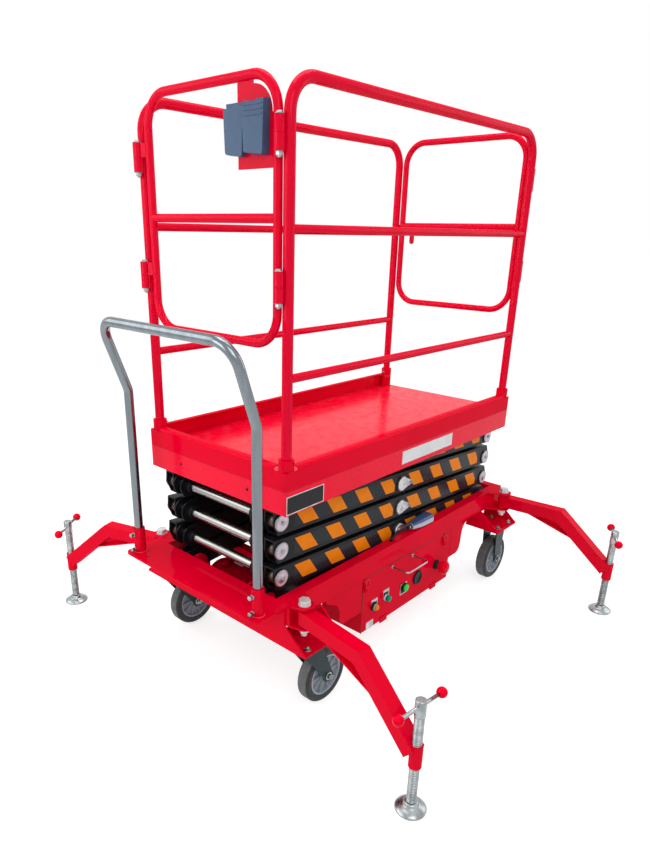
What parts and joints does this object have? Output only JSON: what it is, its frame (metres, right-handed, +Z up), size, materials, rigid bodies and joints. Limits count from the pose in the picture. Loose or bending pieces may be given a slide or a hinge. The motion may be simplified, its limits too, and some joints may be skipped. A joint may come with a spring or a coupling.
{
  "type": "mobile scissor lift",
  "caption": "Push-around scissor lift: folded arm stack on a caster chassis with swing-out outriggers, railed deck with hinged gate, and a push handle.",
  "frame": {"origin": "on the ground under the middle of the bounding box", "axes": "+X along the lift towards the gate, -X towards the push handle, -Y the control box's side, +Z up"},
  "size_m": [1.777, 1.8758, 1.9477],
  "materials": {
    "red_paint": "glossy bright red enamel",
    "black_paint": "semi-gloss black enamel",
    "zinc": "bright zinc plate, slightly dulled",
    "rail_paint": "glossy bright red enamel",
    "handle_grey": "satin silver-grey",
    "fork_black": "dark green-black enamel",
    "hub_grey": "light grey moulded nylon",
    "tyre_rubber": "dark grey rubber",
    "holder_blue": "blue-grey moulded plastic",
    "controls": "red, green and amber plastic heads",
    "rod_chrome": "hard chrome",
    "cord_black": "black rubber",
    "plug_blue": "blue-grey plug, black strain relief",
    "tank_paint": "dark red enamel"
  },
  "bodies": {
    "chassis": {"side_frame_left": "red_paint", "side_frame_right": "red_paint", "tail_plate": "red_paint", "cross_beams": "red_paint", "base_pivots": "red_paint", "side_skirts": "red_paint", "control_box": "red_paint", "power_unit": "tank_paint", "pivot_bolts": "zinc", "caster_plates": "zinc", "fork_far_left": "fork_black", "fork_far_right": "fork_black", "push_handle": "handle_grey", "cord": "cord_black", "plug": "plug_blue"},
    "control_door": {"control_door": "red_paint", "door_controls": "controls", "door_pull": "zinc"},
    "inner_1": {"inner_arms_1": "black_paint"},
    "outer_1": {"outer_arms_1": "black_paint", "cross_pins_1": "zinc"},
    "inner_2": {"inner_arms_2": "black_paint"},
    "outer_2": {"outer_arms_2": "black_paint", "cross_pins_2": "zinc"},
    "inner_3": {"inner_arms_3": "black_paint"},
    "outer_3": {"outer_arms_3": "black_paint", "cross_pins_3": "zinc"},
    "inner_4": {"inner_arms_4": "black_paint", "deck_rollers": "zinc"},
    "outer_4": {"outer_arms_4": "black_paint", "cross_pins_4": "zinc"},
    "ram_barrel": {"ram_barrel": "black_paint"},
    "ram_rod": {"ram_rod": "rod_chrome"},
    "platform": {"deck": "red_paint", "toe_boards": "red_paint", "guard_rail_left": "rail_paint", "guard_rail_right": "rail_paint", "end_panel": "rail_paint", "document_holder": "holder_blue"},
    "gate": {"gate": "rail_paint", "gate_latch": "rail_paint"},
    "outrigger_near_left": {"outrigger_near_left": "red_paint"},
    "jack_near_left": {"jack_near_left": "zinc"},
    "swivel_near_left": {"fork_near_left": "fork_black"},
    "wheel_near_left": {"hub_near_left": "hub_grey", "tyre_near_left": "tyre_rubber"},
    "outrigger_near_right": {"outrigger_near_right": "red_paint"},
    "jack_near_right": {"jack_near_right": "zinc"},
    "swivel_near_right": {"fork_near_right": "fork_black"},
    "wheel_near_right": {"hub_near_right": "hub_grey", "tyre_near_right": "tyre_rubber"},
    "outrigger_far_left": {"outrigger_far_left": "red_paint"},
    "jack_far_left": {"jack_far_left": "zinc"},
    "wheel_far_left": {"hub_far_left": "hub_grey", "tyre_far_left": "tyre_rubber"},
    "outrigger_far_right": {"outrigger_far_right": "red_paint"},
    "jack_far_right": {"jack_far_right": "zinc"},
    "wheel_far_right": {"hub_far_right": "hub_grey", "tyre_far_right": "tyre_rubber"}
  },
  "joints": [
    {"name": "scissor_lift", "type": "hinge", "parent": "chassis", "child": "inner_1", "pos_m": [-0.64686, 0, 0.4], "axis": [0, -1, 0], "range_deg": [0, 40]},
    {"name": "outer_1_cross", "type": "hinge", "parent": "inner_1", "child": "outer_1", "pos_m": [0.0298, 0, 0.45], "axis": [0, -1, 0], "range_deg": [-80, 0]},
    {"name": "outer_2_foot", "type": "hinge", "parent": "inner_1", "child": "outer_2", "pos_m": [0.70646, 0, 0.5], "axis": [0, -1, 0], "range_deg": [-80, 0]},
    {"name": "inner_2_cross", "type": "hinge", "parent": "outer_2", "child": "inner_2", "pos_m": [0.0298, 0, 0.55], "axis": [0, -1, 0], "range_deg": [0, 80]},
    {"name": "inner_3_foot", "type": "hinge", "parent": "outer_2", "child": "inner_3", "pos_m": [-0.64686, 0, 0.6], "axis": [0, -1, 0], "range_deg": [0, 80]},
    {"name": "outer_3_cross", "type": "hinge", "parent": "inner_3", "child": "outer_3", "pos_m": [0.0298, 0, 0.65], "axis": [0, -1, 0], "range_deg": [-80, 0]},
    {"name": "outer_4_foot", "type": "hinge", "parent": "inner_3", "child": "outer_4", "pos_m": [0.70646, 0, 0.7], "axis": [0, -1, 0], "range_deg": [-80, 0]},
    {"name": "inner_4_cross", "type": "hinge", "parent": "outer_4", "child": "inner_4", "pos_m": [0.0298, 0, 0.75], "axis": [0, -1, 0], "range_deg": [0, 80]},
    {"name": "platform_level", "type": "hinge", "parent": "outer_4", "child": "platform", "pos_m": [-0.64686, 0, 0.8], "axis": [0, -1, 0], "range_deg": [0, 40]},
    {"name": "ram_tilt", "type": "hinge", "parent": "chassis", "child": "ram_barrel", "pos_m": [-0.32686, 0, 0.343], "axis": [0, -1, 0], "range_deg": [0, 53]},
    {"name": "ram_extend", "type": "slide", "parent": "ram_barrel", "child": "ram_rod", "axis": [0.9819, 0, 0.1895], "range_m": [0, 0.15]},
    {"name": "gate_hinge", "type": "hinge", "parent": "platform", "child": "gate", "pos_m": [0.75286, -0.30643, 1.6], "axis": [0, 0, -1], "range_deg": [0, 170]},
    {"name": "control_door_hinge", "type": "hinge", "parent": "chassis", "child": "control_door", "pos_m": [0.065, -0.3255, 0.11], "axis": [1, 0, 0], "range_deg": [0, 90]},
    {"name": "outrigger_near_left_swing", "type": "hinge", "parent": "chassis", "child": "outrigger_near_left", "pos_m": [-0.6412, 0.381, 0.4], "axis": [0, 0, 1], "range_deg": [-97, 28]},
    {"name": "jack_near_left_screw", "type": "slide", "parent": "outrigger_near_left", "child": "jack_near_left", "axis": [0, 0, 1], "range_m": [-0.03, 0.12]},
    {"name": "outrigger_near_right_swing", "type": "hinge", "parent": "chassis", "child": "outrigger_near_right", "pos_m": [-0.6412, -0.381, 0.4], "axis": [0, 0, -1], "range_deg": [-88.3, 36.7]},
    {"name": "jack_near_right_screw", "type": "slide", "parent": "outrigger_near_right", "child": "jack_near_right", "axis": [0, 0, 1], "range_m": [-0.03, 0.12]},
    {"name": "outrigger_far_left_swing", "type": "hinge", "parent": "chassis", "child": "outrigger_far_left", "pos_m": [0.7438, 0.381, 0.4], "axis": [0, 0, -1], "range_deg": [-85.5, 39.5]},
    {"name": "jack_far_left_screw", "type": "slide", "parent": "outrigger_far_left", "child": "jack_far_left", "axis": [0, 0, 1], "range_m": [-0.03, 0.12]},
    {"name": "outrigger_far_right_swing", "type": "hinge", "parent": "chassis", "child": "outrigger_far_right", "pos_m": [0.7438, -0.381, 0.4], "axis": [0, 0, 1], "range_deg": [-85.5, 39.5]},
    {"name": "jack_far_right_screw", "type": "slide", "parent": "outrigger_far_right", "child": "jack_far_right", "axis": [0, 0, 1], "range_m": [-0.03, 0.12]},
    {"name": "caster_near_left_swivel", "type": "hinge", "parent": "chassis", "child": "swivel_near_left", "pos_m": [-0.5942, 0.36, 0.25], "axis": [0, 0, 1], "continuous": true},
    {"name": "wheel_near_left_spin", "type": "hinge", "parent": "swivel_near_left", "child": "wheel_near_left", "pos_m": [-0.5202, 0.36, 0.104], "axis": [0, 1, 0], "continuous": true},
    {"name": "caster_near_right_swivel", "type": "hinge", "parent": "chassis", "child": "swivel_near_right", "pos_m": [-0.5942, -0.36, 0.25], "axis": [0, 0, 1], "continuous": true},
    {"name": "wheel_near_right_spin", "type": "hinge", "parent": "swivel_near_right", "child": "wheel_near_right", "pos_m": [-0.5202, -0.36, 0.104], "axis": [0, 1, 0], "continuous": true},
    {"name": "wheel_far_left_spin", "type": "hinge", "parent": "chassis", "child": "wheel_far_left", "pos_m": [0.7348, 0.36, 0.104], "axis": [0, 1, 0], "continuous": true},
    {"name": "wheel_far_right_spin", "type": "hinge", "parent": "chassis", "child": "wheel_far_right", "pos_m": [0.7348, -0.36, 0.104], "axis": [0, 1, 0], "continuous": true}
  ],
  "couplings": [
    {"joint": "outer_1_cross", "follows": "scissor_lift", "ratio": -2},
    {"joint": "outer_2_foot", "follows": "scissor_lift", "ratio": -2},
    {"joint": "inner_2_cross", "follows": "scissor_lift", "ratio": 2},
    {"joint": "inner_3_foot", "follows": "scissor_lift", "ratio": 2},
    {"joint": "outer_3_cross", "follows": "scissor_lift", "ratio": -2},
    {"joint": "outer_4_foot", "follows": "scissor_lift", "ratio": -2},
    {"joint": "inner_4_cross", "follows": "scissor_lift", "ratio": 2},
    {"joint": "platform_level", "follows": "scissor_lift", "ratio": 1},
    {"joint": "ram_tilt", "follows": "scissor_lift", "ratio": 1.3157},
    {"joint": "ram_extend", "follows": "scissor_lift", "m_per_rad": 0.2136}
  ]
}
